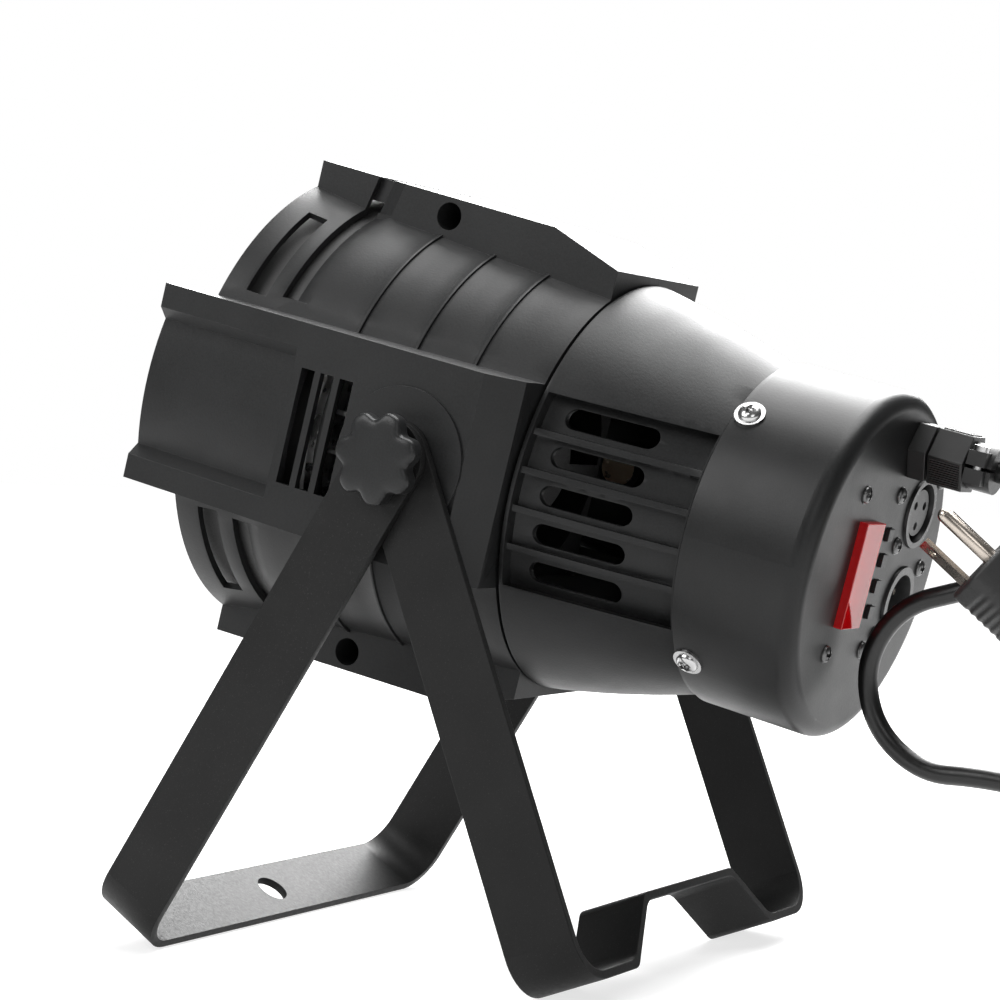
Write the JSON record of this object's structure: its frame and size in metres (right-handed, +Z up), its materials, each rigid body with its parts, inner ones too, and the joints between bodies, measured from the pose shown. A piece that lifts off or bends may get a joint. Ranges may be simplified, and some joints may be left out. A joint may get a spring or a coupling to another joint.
{
  "type": "par can light",
  "caption": "Stage par can light with a slotted hood, two splayed strap brackets with star knobs, and a rear panel with sockets, display, buttons and a mains lead.",
  "frame": {"origin": "on the floor, under the middle of the light without its mains lead", "axes": "+Z up, the lens faces -Y and the rear panel +Y, +X is the side of the left knob; the tilt axis runs along X"},
  "size_m": [0.21, 0.3793, 0.2814],
  "materials": {
    "shell_black": "moulded black plastic with a fine satin texture",
    "cap_black": "moulded black plastic, smoother than the shells",
    "bracket_black": "black powder coat on bent steel strap",
    "clear_glass": "clear",
    "seal_rubber": "matt",
    "plain_aluminium": "plain",
    "lens_plate_black": "matt",
    "lens_clear": "clear acrylic",
    "emitter_yellow": "phosphor dome",
    "board_white": "white solder mask",
    "board_green": "green solder mask",
    "fan_black": "moulded",
    "screw_steel": "zinc plated",
    "screw_bright": "nickel plated",
    "screw_dark": "black oxide",
    "chassis_steel": "zinc plated",
    "transformer_iron": "laminated",
    "capacitor_can": "sleeved",
    "brass_parts": "turned",
    "digit_grey": "matt",
    "window_red": "clear red acrylic",
    "socket_black": "moulded nylon",
    "insert_black": "moulded nylon",
    "pin_plated": "nickel plated brass",
    "gland_black": "moulded nylon",
    "button_black": "moulded",
    "knob_black": "moulded with a light texture",
    "cord_black": "smooth sheath",
    "tie_black": "moulded",
    "plug_black": "moulded"
  },
  "bodies": {
    "front_yoke": {"front_bracket": "bracket_black", "leg_washers": "screw_steel"},
    "rear_yoke": {"rear_bracket": "bracket_black"},
    "knob_washer_left": {"knob_washer_left": "screw_dark"},
    "tilt_knob_left": {"tilt_knob_left": "knob_black", "tilt_stud_left": "screw_steel"},
    "knob_washer_right": {"knob_washer_right": "screw_dark"},
    "tilt_knob_right": {"tilt_knob_right": "knob_black", "tilt_stud_right": "screw_steel"},
    "menu_button_1": {"menu_button_1": "button_black"},
    "menu_button_2": {"menu_button_2": "button_black"},
    "menu_button_3": {"menu_button_3": "button_black"},
    "menu_button_4": {"menu_button_4": "button_black"},
    "fan": {"fan_rotor": "fan_black"},
    "head": {"board_standoffs": "brass_parts", "boss_washers": "screw_steel", "cap_screws": "screw_bright", "capacitors": "capacitor_can", "chassis_plate": "chassis_steel", "clamp_screws": "screw_bright", "cone_shell_left": "shell_black", "cone_shell_right": "shell_black", "control_board": "board_green", "cord_clamp": "gland_black", "cord_tie": "tie_black", "digit_display": "digit_grey", "display_board": "board_green", "display_standoffs": "brass_parts", "display_window": "window_red", "dmx_input_pins": "pin_plated", "dmx_input_shell": "socket_black", "dmx_output_insert": "insert_black", "dmx_output_shell": "socket_black", "fan_frame": "fan_black", "fan_screws": "screw_steel", "front_glass": "clear_glass", "front_shell_left": "shell_black", "front_shell_right": "shell_black", "gland_body": "gland_black", "gland_locknut": "gland_black", "gland_nut": "gland_black", "gland_seal": "seal_rubber", "glass_gasket": "seal_rubber", "heat_sink": "plain_aluminium", "led_board": "board_white", "led_emitters": "emitter_yellow", "lens_plate": "lens_plate_black", "lens_set": "lens_clear", "light_baffle": "lens_plate_black", "panel_screws": "screw_dark", "pivot_inserts": "brass_parts", "plug_body": "plug_black", "plug_pins": "pin_plated", "power_board": "board_green", "power_cord": "cord_black", "power_cord_hank": "cord_black", "rear_cap": "cap_black", "retaining_ring": "plain_aluminium", "shell_screws": "screw_dark", "transformer": "transformer_iron"}
  },
  "joints": [
    {"name": "head_tilt", "type": "hinge", "parent": "front_yoke", "child": "head", "pos_m": [0, -0.02785, 0.1735], "axis": [1, 0, 0], "range_deg": [-15, 75]},
    {"name": "rear_yoke_swing", "type": "hinge", "parent": "front_yoke", "child": "rear_yoke", "pos_m": [0, -0.02785, 0.1735], "axis": [1, 0, 0], "range_deg": [-50, 20]},
    {"name": "left_knob_travel", "type": "slide", "parent": "head", "child": "knob_washer_left", "axis": [1, 0, 0], "range_m": [0, 0.0025]},
    {"name": "left_knob_turn", "type": "hinge", "parent": "knob_washer_left", "child": "tilt_knob_left", "pos_m": [0, -0.02785, 0.1735], "axis": [1, 0, 0], "range_deg": [0, 720]},
    {"name": "right_knob_travel", "type": "slide", "parent": "head", "child": "knob_washer_right", "axis": [-1, 0, 0], "range_m": [0, 0.0025]},
    {"name": "right_knob_turn", "type": "hinge", "parent": "knob_washer_right", "child": "tilt_knob_right", "pos_m": [0, -0.02785, 0.1735], "axis": [-1, 0, 0], "range_deg": [0, 720]},
    {"name": "menu_button_1_press", "type": "slide", "parent": "head", "child": "menu_button_1", "axis": [0, -0.9724, 0.2334], "range_m": [0, 0.0006], "stiffness_N_per_m": 1500, "springref_m": -0.0003},
    {"name": "menu_button_2_press", "type": "slide", "parent": "head", "child": "menu_button_2", "axis": [0, -0.9724, 0.2334], "range_m": [0, 0.0006], "stiffness_N_per_m": 1500, "springref_m": -0.0003},
    {"name": "menu_button_3_press", "type": "slide", "parent": "head", "child": "menu_button_3", "axis": [0, -0.9724, 0.2334], "range_m": [0, 0.0006], "stiffness_N_per_m": 1500, "springref_m": -0.0003},
    {"name": "menu_button_4_press", "type": "slide", "parent": "head", "child": "menu_button_4", "axis": [0, -0.9724, 0.2334], "range_m": [0, 0.0006], "stiffness_N_per_m": 1500, "springref_m": -0.0003},
    {"name": "fan_spin", "type": "hinge", "parent": "head", "child": "fan", "pos_m": [0, -0.03213, 0.17453], "axis": [0, 0.9724, -0.2334], "continuous": true}
  ],
  "couplings": [
    {"joint": "left_knob_turn", "follows": "left_knob_travel", "rad_per_m": 5026.5},
    {"joint": "right_knob_turn", "follows": "right_knob_travel", "rad_per_m": 5026.5}
  ]
}
